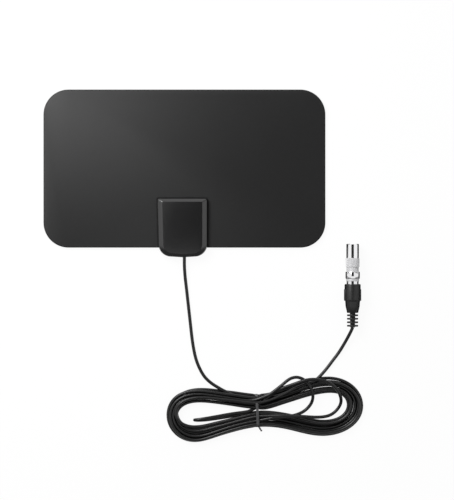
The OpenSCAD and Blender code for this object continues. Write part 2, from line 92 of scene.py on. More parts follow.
bpy.ops.object.camera_add(location=view_centre + Vector((0, 0, camera_distance)), rotation=(0, 0, 0))
camera = bpy.context.object
camera.name = "camera_above"
camera.data.sensor_width = sensor
camera.data.lens = sensor * camera_distance / view_height
bpy.context.scene.camera = camera
print("lens in mm:", round(camera.data.lens, 1))

# %% [markdown]
# ## The cord's route
# The cord is one fixed length: it leaves the housing, runs down to a bundle, goes round the
# bundle nine times, and leaves it for the plug. It could be drawn as a filled shape with
# painted stripes, but then no strand would cross another. Here every turn is a line of its
# own inside one band. The band is marked by pairs of points, one on its outer edge and one
# on its inner edge, and a turn is a path at some fraction of the way between them.

# %% Sizes of the cord and the points of its free stretches
cord_d = 2.5
cord_r = cord_d / 2

lead_a = [
    (0, -53.1, 4.6), (0, -61.1, 4.6), (0, -67.1, 4.6), (0, -74, 4), (0.5, -82, 2.6),
    (1.5, -91, 1.5), (2.5, -100, 1.2), (3.5, -109, 1.2), (4.5, -118, 1.2), (5.5, -127, 1.2),
    (6.8, -136, 1.2), (8.7, -144.5, 1.2), (11.4, -151.5, 1.2), (15.2, -158, 1.3),
    (20.5, -163, 1.8), (27, -167, 2.6),
]
lead_b = [
    (98, -162, 3), (102.5, -158, 2.4), (107.5, -152.5, 1.6), (112.5, -146, 1.3),
    (117, -140, 1.4), (121, -133.5, 2.4), (124.5, -127, 4.4), (126.6, -122.5, 6.0),
    (127.4, -120.4, 6.4),
]


def smooth_line(points, pieces, closed=False):
    """A Catmull-Rom line through the points, with that many pieces between two of them."""
    points = np.array(points, float)
    count = len(points)
    line = []
    for i in range(count if closed else count - 1):
        if closed:
            a, b, c, d = (points[(i + k) % count] for k in (-1, 0, 1, 2))
        else:
            a, b, c, d = (points[min(max(i + k, 0), count - 1)] for k in (-1, 0, 1, 2))
        for t in np.arange(pieces) / pieces:
            line.append(0.5 * (2 * b + (c - a) * t + (2 * a - 5 * b + 4 * c - d) * t**2
                               + (3 * b - a - 3 * c + d) * t**3))
    if not closed:
        line.append(points[-1])
    return np.array(line)


# %% The band that the turns fill, clockwise from the tie
band = [
    ((55.5, -171.3), (55.5, -182.4)), ((70, -169.0), (70, -178.2)), ((80, -165.4), (82, -174.8)),
    ((89, -161.5), (92, -171.6)), ((99, -158.9), (103, -169.4)), ((112, -157.8), (112, -168.8)),
    ((124, -162), (118.6, -170.0)), ((132, -169.5), (122.4, -174.2)), ((135.2, -181), (123, -180.2)),
    ((130.5, -192), (119.3, -186.2)), ((119, -199.6), (111.3, -189.6)),
    ((106, -202.2), (101, -190.3)), ((92, -200.6), (90, -188.0)), ((74, -196.0), (74, -184.8)),
    ((55.5, -194.7), (55.5, -182.9)), ((38, -198.2), (38, -187.4)), ((22, -203.3), (22, -191.0)),
    ((8, -207.4), (10, -193.8)), ((-3, -204.3), (1, -192.6)), ((-10.5, -197), (-3.6, -189.5)),
    ((-13.6, -186), (-5.2, -185.5)), ((-10, -174.8), (-2.8, -181)), ((-2, -168.6), (4, -178.3)),
    ((11, -166.2), (13, -177.6)), ((28, -168), (30, -179.2)), ((42, -169.6), (43, -181)),
]
low_crossing = 14 / len(band)
bundle_shift = np.array((0.9, -0.7))
outer_edge = smooth_line([pair[0] for pair in band], 10, closed=True) + bundle_shift
inner_edge = smooth_line([pair[1] for pair in band], 10, closed=True) + bundle_shift


def in_band(turn, across):
    """The point after so many turns, at a fraction of the way from the inner edge to the outer."""
    place = (turn % 1.0) * len(outer_edge)
    i = int(place) % len(outer_edge)
    j, w = (i + 1) % len(outer_edge), place - int(place)
    outer = outer_edge[i] * (1 - w) + outer_edge[j] * w
    inner = inner_edge[i] * (1 - w) + inner_edge[j] * w
    edge = cord_r / np.linalg.norm(outer - inner)
    return inner + (outer - inner) * (edge + across * (1 - 2 * edge))


print("band points:", len(outer_edge))

# %% [markdown]
# ## The turns
# Each turn has a place across the band and a layer, and slides over to the next turn's place
# on the left-hand bend. Two turns stay shorter than the others and cut across the right-hand
# eye, and one makes a tight hairpin in the left-hand eye. A small slow wave keeps the strands
# from lying as evenly as on a machine-wound spool.

# %% Short turns and the hairpin
short_turn_1 = [
    (63.5, -171.0), (72.6, -164.1), (77.5, -159.8), (82.1, -157.6), (86.5, -157.8),
    (90.9, -160.2), (94.3, -164.3), (96.3, -169.4), (96.4, -174.2), (94.6, -178.7),
    (91.0, -182.6), (85.9, -185.4), (78.0, -187.2), (66.5, -187.9),
]
short_turn_1_z = ([0, 0.12, 0.3, 0.45, 0.6, 0.72, 0.82, 1], [5.6, 5.2, 5.2, 7.0, 5.5, 2.0, 3.0, 5.6])
short_turn_2 = [
    (70, -166.6), (82, -162.5), (90, -159.8), (96.5, -158.9), (104.6, -159.9),
    (111.4, -163.2), (115.8, -168.3), (117.6, -172.9), (117.9, -176.7), (116.7, -179.9),
    (113.7, -183.7), (108.6, -186.9), (99.7, -187.9), (86.8, -187.2), (74, -187),
]
short_turn_2_z = ([0, 0.12, 0.35, 0.5, 0.62, 0.75, 0.86, 1], [5.6, 6.6, 7.4, 5.4, 2.0, 1.6, 3.6, 5.6])
hairpin = [
    (48, -185.2, 3.0), (38, -186.9, 1.8), (28, -188.5, 1.3), (18, -189.9, 1.2),
    (12.5, -190.4, 1.2), (9.6, -190.5, 1.25), (7.5, -190.35, 2.0), (6.5, -190.1, 3.3),
    (6.3, -189.95, 4.3), (6.8, -189.8, 5.6), (8.2, -189.6, 6.8), (10.6, -189.3, 7.2),
    (15, -188.6, 7.0), (21, -187.6, 6.3), (29, -186.2, 5.2), (38, -184.7, 4.3), (48, -183.4, 3.8),
]


def short_turn(points, heights):
    """The plan points of a short turn with their heights, as a line."""
    along = np.arange(len(points)) / (len(points) - 1)
    return smooth_line([(x + bundle_shift[0], y + bundle_shift[1], np.interp(u, *heights))
                        for (x, y), u in zip(points, along)], 5)


# %% String the stretches together
turns = 9
places = [(0.02, 0), (0.26, 0), (0.5, 0), (0.75, 0), (1.0, 0), (0.88, 1), (0.62, 1), (0.36, 1),
          (0.12, 1), (0.5, 2)]
short_turns = {6: short_turn(short_turn_1, short_turn_1_z), 7: short_turn(short_turn_2, short_turn_2_z)}
hairpin_turn = 0
wave = 0.07
wave_phase = np.random.default_rng(7).uniform(0, 2 * np.pi, (turns + 1, 3))
FIXED, SHAPED, EASY, FREE = 1.0, 0.8, 0.3, 0.05


def place_at(turn):
    """Fraction across the band and height of the cord's middle after so many turns."""
    now = min(int(turn), turns)
    then = min(now + 1, turns)
    w = np.clip((turn - int(turn) - 0.62) / 0.36, 0, 1)
    w = w * w * (3 - 2 * w)
    across = places[now][0] * (1 - w) + places[then][0] * w
    layer = places[now][1] * (1 - w) + places[then][1] * w
    for k in range(2):
        phase = wave_phase[now][k] * (1 - w) + wave_phase[then][k] * w
        across += wave * np.sin(2 * np.pi * (k + 1) * turn + phase) / (k + 1)
    return np.clip(across, 0, 1), cord_r + 2.15 * layer


def wound_cord():
    """All points of the cord in order, and how firmly each one keeps its place."""
    line, hold = [], []

    def add(points, firmness):
        for p in points:
            line.append([float(v) for v in p])
            hold.append(firmness)

    def along_band(start, end, count):
        for t in np.linspace(start, end, count, endpoint=False):
            across, z = place_at(t)
            yield (*in_band(t, across), z)

    add(smooth_line(lead_a, 6), FIXED)
    add([(34, -170.5, 2.6), (43, -173.5, 2.2)], 0.2)
    for k in range(turns):
        if k in short_turns:
            start, end = place_at(k), place_at(k + low_crossing)
            add([(*in_band(0, 0.9 if k == min(short_turns) else start[0]), start[1])], EASY)
            add(short_turns[k], SHAPED)
            add([(*in_band(low_crossing, end[0]), end[1])], EASY)
        else:
            add(along_band(k, k + low_crossing, 60), FREE)
        if k == hairpin_turn:
            add(smooth_line(hairpin, 5) + (*bundle_shift, 0), SHAPED)
        else:
            add(along_band(k + low_crossing, k + 1, 56), FREE)
    for s in np.linspace(0, 0.11, 12, endpoint=False):
        across, z = place_at(turns + s)
        w = s / 0.11
        add([(*in_band(s, across * (1 - w) + 0.95 * w), z * (1 - w) + 3.2 * w)], FREE)
    add(smooth_line(lead_b, 6), FIXED)
    return np.array(line), np.array(hold)


rough_line, firmness = wound_cord()
print("points strung:", len(rough_line))

# %% [markdown]
# ## Strands that lie beside and on each other
# Drawn like this, many strands still run through each other. A physics solver for a cord this
# long would be slow and never quite repeat. Instead the line is cut into even steps, and each
# step that lies nearer than one diameter to another one is pushed away from it, again and
# again. Only the pushes are smoothed, so the turns keep their shape and don't shrink, as a
# relaxed rubber band would. The floor and the tie hold the strands from outside.

# %% Push the strands apart
step = 1.5
tie_x = 55.2
tie_lift = 0.65


def smoothed(values, reach, amount, freedom=1.0):
    """Each value moved towards the middle of its neighbours that many steps away."""
    change = np.zeros_like(values)
    change[reach:-reach] = (values[:-2 * reach] + values[2 * reach:]) / 2 - values[reach:-reach]
    return values + amount * change * freedom


def evened(values, reach, amount, freedom):
    """Smoothing that takes out kinks and keeps a bend's radius."""
    k = reach
    change = np.zeros_like(values)
    change[2 * k:-2 * k] = (-values[:-4 * k] + 4 * values[k:-3 * k] + 4 * values[3 * k:-k]
                            - values[4 * k:]) / 6 - values[2 * k:-2 * k]
    return values + amount * change * freedom


def settled(line, hold, rounds=260, search_every=8):
    """The line in even steps, with its strands pushed apart to one diameter."""
    length = np.r_[0, np.cumsum(np.linalg.norm(np.diff(line, axis=0), axis=1))]
    even = np.linspace(0, length[-1], int(length[-1] / step) + 1)
    line = np.stack([np.interp(even, length, line[:, k]) for k in range(3)], 1)
    hold = np.interp(even, length, hold)
    free = (1 - hold)[:, None]
    for _ in range(8):
        line = smoothed(line, 1, 0.5, free)
    for _ in range(12):
        line = evened(line, 3, 0.4, free**2)
    drawn, fixed = line.copy(), hold > 0.95
    pull = (0.25 * hold * np.where(hold > 0.5, 1, 0.5))[:, None]
    for i in range(rounds):
        if i % search_every == 0:
            square = (line**2).sum(1)
            apart = square[:, None] + square[None, :] - 2 * line @ line.T
            a, b = np.where(np.triu(apart < (1.7 * cord_d) ** 2, 7))
        between = line[b] - line[a]
        distance = np.linalg.norm(between, axis=1) + 1e-9
        near = cord_d - distance > 0
        push = between[near] / distance[near, None] * ((cord_d - distance[near]) * 0.45)[:, None]
        total, count = np.zeros_like(line), np.zeros(len(line))
        for index, sign in ((b[near], 1), (a[near], -1)):
            np.add.at(total, index, sign * push)
            np.add.at(count, index, 1)
        moved = line + total / np.sqrt(np.maximum(count, 1))[:, None]
        pushes = moved - drawn
        for reach, amount in ((1, 0.5), (3, 0.5), (7, 0.4)):
            pushes = smoothed(pushes, reach, amount)
        moved = drawn + pushes
        moved[:, :2] += (drawn[:, :2] - moved[:, :2]) * pull
        moved[:, 2] -= 0.03 * (1 - hold)
        moved[hold > 0.5, 2] += 0.02 * (drawn[hold > 0.5, 2] - moved[hold > 0.5, 2])
        beside = np.abs(moved[:, 0] - tie_x)
        in_bundle = (moved[:, 1] < -165) & ~fixed
        floor = cord_r + np.where(in_bundle, tie_lift * np.exp(-((beside / 14) ** 2)), 0)
        moved[:, 2] = np.maximum(moved[:, 2], floor)
        past = np.maximum(beside - 2, 0)
        tied = past < 10
        moved[tied, 1] = np.clip(moved[tied, 1], -195.1 - 0.6 * past[tied], -172.6 + 0.6 * past[tied])
        moved[tied, 2] = np.minimum(moved[tied, 2], 7.0 + 0.1 * past[tied])
        moved[fixed] = drawn[fixed]
        line = moved
    return line


cord_line = settled(rough_line, firmness) * MM
cord_length = float(np.linalg.norm(np.diff(cord_line, axis=0), axis=1).sum())
print("cord length in m:", round(cord_length, 3), "height in mm:", round(cord_line[:, 2].max() / MM, 1))

# %% [markdown]
# ## The cord as a curve
# A curve with a round bevel is the easiest way to a tube of constant thickness. It is then
# made a mesh, and its length is measured from its line.

# %% Make the cord
def nothing_selected():
    """Leave edit mode and deselect everything, because operators act on all that is selected."""
    if bpy.context.object and bpy.context.object.mode != "OBJECT":
        bpy.ops.object.mode_set(mode="OBJECT")
    bpy.ops.object.select_all(action="DESELECT")


nothing_selected()
cord_curve = bpy.data.curves.new("coax_cord", "CURVE")
cord_curve.dimensions = "3D"
cord_curve.bevel_depth = cord_r * MM
cord_curve.bevel_resolution = 3
cord_curve.use_fill_caps = True
spline = cord_curve.splines.new("POLY")
spline.points.add(len(cord_line) - 1)
for point, place in zip(spline.points, cord_line):
    point.co = (*place, 1)
spline.use_smooth = True
cord = bpy.data.objects.new("coax_cord", cord_curve)
bpy.context.scene.collection.objects.link(cord)
cord.select_set(True)
bpy.context.view_layer.objects.active = cord
bpy.ops.object.convert(target="MESH")
bpy.ops.object.shade_smooth()
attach(cord, "root")
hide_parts("lead_from_housing", "cord_hank", "lead_to_plug")
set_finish(cord, "cord_jacket")
print("cord points:", len(cord_line), "faces:", len(cord.data.polygons))

# %% [markdown]
# ## The wire tie
# A coated wire is wrapped once round the waist of the bundle and its two ends are twisted.
# Pulled tight, it follows the strands like a rubber skin, which is what a convex hull does.
# So a pair of circles is set where each strand passes under the tie, their hull is taken, the
# end faces go, and the band that is left gets a thickness outwards. It leans as the real one.

# %% Wrap the strands under the tie
tie_width = 1.7 * MM
tie_thickness = 0.6 * MM
tie_lean = 0.045
tie_middle_y = -184 * MM
bundle_starts_y = -165 * MM


def active_only(obj):
    nothing_selected()
    obj.select_set(True)
    bpy.context.view_layer.objects.active = obj


def apply_modifiers(obj):
    active_only(obj)
    for modifier in list(obj.modifiers):
        bpy.ops.object.modifier_apply(modifier=modifier.name)


def select_faces(obj, wanted):
    """In edit mode, select only the faces for which wanted(face) is true."""
    bpy.ops.object.mode_set(mode="OBJECT")
    for item in (*obj.data.vertices, *obj.data.edges):
        item.select = False
    for face in obj.data.polygons:
        face.select = bool(wanted(face))
    bpy.ops.object.mode_set(mode="EDIT")
    bpy.ops.mesh.select_mode(type="FACE")


def select_all_of(pieces):
    """Select the pieces, with the first one active."""
    nothing_selected()
    for piece in pieces:
        piece.select_set(True)
    bpy.context.view_layer.objects.active = pieces[0]


def hull_of(name, circles):
    """Join the circles that are given as objects, and wrap them in a closed hull."""
    select_all_of(circles)
    bpy.ops.object.join()
    piece = bpy.context.object
    piece.name = name
    bpy.ops.object.transform_apply(location=True, rotation=True, scale=True)
    bpy.ops.object.mode_set(mode="EDIT")
    bpy.ops.mesh.select_all(action="SELECT")
    bpy.ops.mesh.convex_hull(join_triangles=False)
    bpy.ops.mesh.select_all(action="SELECT")
    bpy.ops.mesh.dissolve_limited(angle_limit=math.radians(0.5))
    bpy.ops.mesh.select_all(action="SELECT")
    bpy.ops.mesh.normals_make_consistent(inside=False)
    bpy.ops.object.mode_set(mode="OBJECT")
    return piece


beside_tie = cord_line[:, 0] - tie_x * MM - tie_lean * (tie_middle_y - cord_line[:, 1])
passes = [i for i in range(len(cord_line) - 1)
          if beside_tie[i] * beside_tie[i + 1] <= 0 and cord_line[i, 1] < bundle_starts_y]
circles = []
for i in passes:
    for side in (-0.5, 0.5):
        bpy.ops.mesh.primitive_circle_add(vertices=24, radius=cord_r * MM, rotation=(0, math.radians(90), 0),
                                          location=(cord_line[i, 0] - beside_tie[i] + side * tie_width,
                                                    cord_line[i, 1], cord_line[i, 2]))
        circles.append(bpy.context.object)
tie = hull_of("wire_tie", circles)
active_only(tie)
select_faces(tie, lambda face: abs(face.normal.x) > 0.8)
bpy.ops.mesh.delete(type="FACE")
bpy.ops.mesh.select_all(action="SELECT")
bpy.ops.mesh.remove_doubles(threshold=0.02 * MM)
bpy.ops.object.mode_set(mode="OBJECT")
tie_low, tie_high = ([f(v.co[k] for v in tie.data.vertices) / MM for k in range(3)] for f in (min, max))
print("strands tied:", len(passes), "tie from", np.round(tie_low, 1), "to", np.round(tie_high, 1))

# %% Give it thickness and round edges
wall = tie.modifiers.new("wall", "SOLIDIFY")
wall.thickness = tie_thickness
wall.offset = 1
wall.use_even_offset = True
edge = tie.modifiers.new("edge", "BEVEL")
edge.width = 0.2 * MM
edge.segments = 3
edge.limit_method = "ANGLE"
edge.angle_limit = math.radians(50)
apply_modifiers(tie)

# %% [markdown]
# The twisted ends of the tie are one short flat bar. A cube is stretched, subdivided so that
# it can bend, and turned by a twist modifier.

# %% Twist the tail
tail_length = 4.6 * MM
tail_start = Vector((56.1, -195.6, 1.8)) * MM
tail_end_direction = Vector((0.55, -0.83, -0.05)).normalized()
nothing_selected()
bpy.ops.mesh.primitive_cube_add(size=1, location=(0, 0, 0))
tail = bpy.context.object
tail.scale = (1.3 * MM, 0.75 * MM, tail_length)
bpy.ops.object.transform_apply(location=False, rotation=False, scale=True)
bpy.ops.object.mode_set(mode="EDIT")
bpy.ops.mesh.select_all(action="SELECT")
bpy.ops.mesh.subdivide(number_cuts=20)
bpy.ops.object.mode_set(mode="OBJECT")
soft = tail.modifiers.new("soft", "BEVEL")
soft.width = 0.2 * MM
soft.segments = 2
twist = tail.modifiers.new("twist", "SIMPLE_DEFORM")
twist.deform_method = "TWIST"
twist.deform_axis = "Z"
twist.angle = math.radians(420)
apply_modifiers(tail)
turn = tail_end_direction.to_track_quat("Z", "Y").to_matrix().to_4x4()
tail.matrix_world = Matrix.Translation(tail_start + tail_end_direction * tail_length / 2) @ turn
bpy.ops.object.transform_apply(location=True, rotation=True, scale=True)

select_all_of([tie, tail])
bpy.ops.object.join()
bpy.ops.object.shade_smooth_by_angle(angle=math.radians(50))
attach(tie, "root")
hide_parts("twist_tie")
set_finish(tie, "tie_plastic")
print("tie faces with tail:", len(tie.data.polygons))

# %% [markdown]
# ## The thread of the adapter
# The engineering model keeps the thread as a plain cylinder, because a helix is heavy to test.
# Four ridges of it show between the nut and the knurled collar, and more as the nut is undone.
# A two-edge profile swept by a Screw modifier gives one continuous ridge with the true pitch.

# %% Sweep the ridge
thread_pitch = 0.794 * MM
thread_low, thread_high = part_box("adapter_body")
plug_axis = Vector(((thread_low.x + thread_high.x) / 2, 0, (thread_low.z + thread_high.z) / 2))
thread_root, thread_crest = 4.45 * MM, 4.72 * MM
thread_start = thread_low.y + 0.6 * MM
thread_turns = 7.9


def lay_on_plug_axis(piece, start):
    """Turn a piece that stands along Z to lie on the plug's axis, from start on."""
    turn = Matrix.Rotation(math.radians(-90), 4, "X")
    piece.matrix_world = Matrix.Translation((plug_axis.x, start, plug_axis.z)) @ turn
    bpy.ops.object.transform_apply(location=True, rotation=True, scale=True)
    bpy.ops.object.mode_set(mode="EDIT")
    bpy.ops.mesh.select_all(action="SELECT")
    bpy.ops.mesh.normals_make_consistent(inside=False)
    bpy.ops.object.mode_set(mode="OBJECT")


nothing_selected()
bpy.ops.mesh.primitive_plane_add(size=1, location=(0, 0, 0))
thread = bpy.context.object
thread.name = "adapter_thread"
bpy.ops.object.mode_set(mode="EDIT")
bpy.ops.mesh.delete(type="ONLY_FACE")
bpy.ops.object.mode_set(mode="OBJECT")
profile = [(thread_root, -0.45), (thread_crest, -0.06), (thread_crest, 0.06), (thread_root, 0.45)]
for vertex, place in zip((0, 2, 3, 1), profile):
    thread.data.vertices[vertex].co = (place[0], 0, place[1] * thread_pitch)
sweep = thread.modifiers.new("sweep", "SCREW")
sweep.axis = "Z"
sweep.angle = 2 * math.pi * thread_turns
sweep.screw_offset = thread_pitch * thread_turns
sweep.steps = sweep.render_steps = int(40 * thread_turns)
sweep.use_merge_vertices = False
apply_modifiers(thread)
lay_on_plug_axis(thread, thread_start)
bpy.ops.object.shade_smooth_by_angle(angle=math.radians(35))
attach(thread, "adapter")
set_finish(thread, "dull_plate")
print("thread box in mm:", [round(v / MM, 2) for v in thread.dimensions])

# %% [markdown]
# ## The housing and the plate under it
# The engineering model has the housing's hidden parts and its shell, but with steep bevels.
# The real shell has wide flat bevels and a rounder lower end, and it stands in a narrow groove
# of the plate, which shows as a dark line. Each level of such a form is a few circles at the
# corners of its outline, and a convex hull over the levels gives the sloping faces.

# %% Wrap circles in a hull
shell_top_y, shell_end_y, shell_end_side_y = -22.5, -67.35, -66.8
half_width_top, half_width_end = 19.1, 18.65
middle_x_top, middle_x_end = -1.55, -1.15
corner_r_top, corner_r_end = 1.5, 9.5


def corner_circles(z, side=0, top=0, end=0):
    """The circles that span the shell's outline at one level, drawn in by so much."""
    r_top = max(corner_r_top - 0.4 * min(side, top), 0.4)
    r_end = corner_r_end - end
    circles = [(middle_x_end, shell_end_y + end + r_end, z, r_end)]
    for sign in (-1, 1):
        circles.append((sign * (half_width_top - side - r_top) + middle_x_top,
                        shell_top_y - top - r_top, z, r_top))
        circles.append((sign * (half_width_end - side - r_end) + middle_x_end,
                        shell_end_side_y + end + r_end, z, r_end))
    return circles


def wrapped(name, circles):
    """A closed piece: the hull of circles given as (x, y, z, radius) in millimetres."""
    nothing_selected()
    made = []
    for x, y, z, radius in circles:
        bpy.ops.mesh.primitive_circle_add(vertices=64, radius=radius * MM,
                                          location=(x * MM, y * MM, z * MM))
        made.append(bpy.context.object)
    return hull_of(name, made)


def soften(piece, width):
    """Round the edges of a piece a little, and shade it smooth between them."""
    edges = piece.modifiers.new("edges", "BEVEL")
    edges.width = width * MM
    edges.segments = 2
    edges.limit_method = "ANGLE"
    edges.angle_limit = math.radians(12)
    apply_modifiers(piece)
    bpy.ops.object.shade_smooth_by_angle(angle=math.radians(30))


def bar_along_y(radius, length, middle, vertices=64):
    """A cylinder that lies along Y, with its middle at a place in metres."""
    nothing_selected()
    bpy.ops.mesh.primitive_cylinder_add(vertices=vertices, radius=radius, depth=length,
                                        location=middle, rotation=(math.radians(90), 0, 0))
    bpy.ops.object.transform_apply(location=True, rotation=True, scale=True)
    return bpy.context.object


def cut(piece, cutter):
    """Take the cutter's space out of the piece and delete the cutter."""
    hole = piece.modifiers.new("hole", "BOOLEAN")
    hole.operation = "DIFFERENCE"
    hole.solver = "EXACT"
    hole.object = cutter
    apply_modifiers(piece)
    active_only(cutter)
    bpy.ops.object.delete()


# %% The shell
plate_top = 3.2
groove_depth, groove_width = 0.6, 0.7
foot = plate_top - groove_depth + 0.05
shell = wrapped("housing_shell", corner_circles(foot) + corner_circles(3.5)
                + corner_circles(7.6, 0.6, 0.6, 0.1) + corner_circles(9.2, 3.9, 2.8, 2.5))
active_only(shell)
select_faces(shell, lambda face: face.normal.z < -0.9)
bpy.ops.mesh.delete(type="FACE")
bpy.ops.object.mode_set(mode="OBJECT")
wall = shell.modifiers.new("wall", "SOLIDIFY")
wall.thickness = 1.3 * MM
wall.offset = -1
apply_modifiers(shell)
print("shell faces:", len(shell.data.polygons))

# %% The skirt past the plate's edge, and the cord's hole
skirt_bottom, skirt_from_y = 1.62, -60.15
skirt = wrapped("skirt", corner_circles(skirt_bottom) + corner_circles(foot + 0.05))
active_only(skirt)
bpy.ops.object.mode_set(mode="EDIT")
bpy.ops.mesh.select_all(action="SELECT")
bpy.ops.mesh.bisect(plane_co=(0, skirt_from_y * MM, 0), plane_no=(0, 1, 0), use_fill=True,
                    clear_outer=True)
bpy.ops.object.mode_set(mode="OBJECT")
cut(shell, bar_along_y(cord_r * MM + 0.2 * MM, 6 * MM, (0, -66.5 * MM, 4.6 * MM), vertices=32))
select_all_of([shell, skirt])
bpy.ops.object.join()
soften(shell, 0.4)
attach(shell, "root")
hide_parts("front_cover")
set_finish(shell, "housing_plastic")
print("shell faces with skirt:", len(shell.data.polygons))

# %% The grooved front plate
plate_half_x, plate_half_y, plate_corner_r = 107, 60, 19


def plate_circles(z, inset=0):
    """The circles at the plate's four corners."""
    return [(x * (plate_half_x - plate_corner_r), y * (plate_half_y - plate_corner_r), z,
             plate_corner_r - inset) for x in (-1, 1) for y in (-1, 1)]


def groove_circles(z):
    """The shell's outline made wider by the groove."""
    return corner_circles(z, -groove_width, -groove_width, -groove_width)


plate = wrapped("grooved_plate", plate_circles(1.72) + plate_circles(plate_top - 0.5)
                + plate_circles(plate_top, 0.5))
soften(plate, 0.12)
cut(plate, wrapped("groove", groove_circles(plate_top - groove_depth) + groove_circles(plate_top + 1)))
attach(plate, "root")
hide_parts("front_plate")
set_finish(plate, "panel_plastic")
print("plate faces:", len(plate.data.polygons))

# %% [markdown]
# ## The boot
# The boot is turned round the plug's axis, with a flat pad on the left and on the right of the
# grip and four thin discs that let the cord bend without a kink. A profile of a few points is
# swept by a Screw modifier, and the discs are one disc copied along the axis.

# %% Turn the boot
boot_end = -120.4
boot_profile = [
    (0, 0), (1.8, 0), (2.1, 11), (4.2, 11), (5.35, 16), (5.6, 19.8), (5.95, 20.3), (6.1, 20.9),
    (6.1, 32.3), (5.7, 32.8), (0, 32.8),
]
nothing_selected()
bpy.ops.mesh.primitive_circle_add(vertices=len(boot_profile), radius=1)
boot = bpy.context.object
boot.name = "boot"
for vertex, (radius, along) in zip(boot.data.vertices, boot_profile):
    vertex.co = (radius * MM, 0, along * MM)
bpy.ops.object.mode_set(mode="EDIT")
bpy.ops.mesh.select_mode(type="EDGE")
bpy.ops.mesh.select_all(action="DESELECT")
bpy.ops.object.mode_set(mode="OBJECT")
for side_line in boot.data.edges:
    side_line.select = set(side_line.vertices) == {0, len(boot_profile) - 1}
bpy.ops.object.mode_set(mode="EDIT")
bpy.ops.mesh.delete(type="EDGE_FACE")
bpy.ops.object.mode_set(mode="OBJECT")
spin = boot.modifiers.new("spin", "SCREW")
spin.axis = "Z"
spin.angle = 2 * math.pi
spin.steps = spin.render_steps = 64
spin.use_merge_vertices = True
spin.merge_threshold = 0.001 * MM
apply_modifiers(boot)
print("turned boot faces:", len(boot.data.polygons))

# %% Add the ribs and the pads
rib_count, rib_pitch, rib_thickness, rib_r, first_rib = 4, 2.65, 1.25, 4.2, 1.25
pads_across, pads_high, pads_length, pads_middle = 12.74, 5.4, 8.7, 24.55
boot_parts = [boot]
for i in range(rib_count):
    bpy.ops.mesh.primitive_cylinder_add(vertices=48, radius=rib_r * MM, depth=rib_thickness * MM,
                                        location=(0, 0, (first_rib + i * rib_pitch) * MM))
    boot_parts.append(bpy.context.object)
bpy.ops.mesh.primitive_cube_add(size=1, location=(0, 0, pads_middle * MM))
bpy.context.object.scale = (pads_across * MM, pads_high * MM, pads_length * MM)
boot_parts.append(bpy.context.object)
select_all_of(boot_parts)
bpy.ops.object.transform_apply(location=True, rotation=True, scale=True)
bpy.ops.object.join()
lay_on_plug_axis(boot, boot_end * MM)
soften(boot, 0.2)
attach(boot, "root")
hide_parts("plug_boot")
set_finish(boot, "boot_plastic")
print("boot faces:", len(boot.data.polygons))

# %% [markdown]
# ## The coupling nut
# The model's nut has sharp corners, as a check needs them. On the real one the corners are
# rounded, and the top one carries a dark line in the bright plating. So the six-sided bar is
# made again: a wide bevel on its six long edges, a small one on the rest, and a plain bore.

# %% Bevel and bore the nut
nut_low, nut_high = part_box("coupling_nut")
nut_corner_r, nut_bore_r, collar_r = 6.2 * MM, 4.78 * MM, 4.9 * MM
collar_length = 1.9 * MM
hexagon_length = nut_high.y - nut_low.y - collar_length
nut = bar_along_y(nut_corner_r, hexagon_length,
                  (plug_axis.x, nut_high.y - hexagon_length / 2, plug_axis.z), vertices=6)
nut.name = "rounded_nut"
corners = nut.modifiers.new("corners", "BEVEL")
corners.width = 2.1 * MM
corners.segments = 8
corners.limit_method = "WEIGHT"
weights = nut.data.attributes.new("bevel_weight_edge", "FLOAT", "EDGE")
for edge_line in nut.data.edges:
    start, end = (nut.data.vertices[i].co for i in edge_line.vertices)
    weights.data[edge_line.index].value = 1.0 if abs(start.y - end.y) > hexagon_length / 2 else 0.0
apply_modifiers(nut)
soften(nut, 0.3)
cut(nut, bar_along_y(nut_bore_r, 20 * MM, (plug_axis.x, nut_high.y, plug_axis.z)))
active_only(nut)
bpy.ops.object.shade_smooth_by_angle(angle=math.radians(30))
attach(nut, "nut")
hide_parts("coupling_nut")
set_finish(nut, "nickel_plate")
print("nut faces:", len(nut.data.polygons))

# %% The nut's dull collar
collar = bar_along_y(collar_r, collar_length,
                     (plug_axis.x, nut_low.y + collar_length / 2, plug_axis.z))
collar.name = "nut_collar"
soften(collar, 0.15)
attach(collar, "nut")
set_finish(collar, "dull_plate")
print("collar faces:", len(collar.data.polygons))

# %% [markdown]
# ## Shared surface effects
# Two effects come back in many finishes: the fine grain that a mould or a plating bath leaves,
# whose bumps also drive a painted shade in the colour, darker in their hollows and lighter on
# their tops, and the slow unevenness of shine that handling leaves. Each is a node group with
# its own inputs, so every material can set its scale and strength and keep its own shader.

# %% Build the node groups
def new_group(name, inputs, outputs):
    group = bpy.data.node_groups.new(name, "ShaderNodeTree")
    for label, kind, value in inputs:
        socket = group.interface.new_socket(name=label, in_out="INPUT", socket_type=kind)
        socket.default_value = value
    for label, kind in outputs:
        group.interface.new_socket(name=label, in_out="OUTPUT", socket_type=kind)
    return group, group.nodes.new("NodeGroupInput"), group.nodes.new("NodeGroupOutput")


def node(tree, kind, **values):
    made = tree.nodes.new(kind)
    for key, value in values.items():
        setattr(made, key, value)
    return made


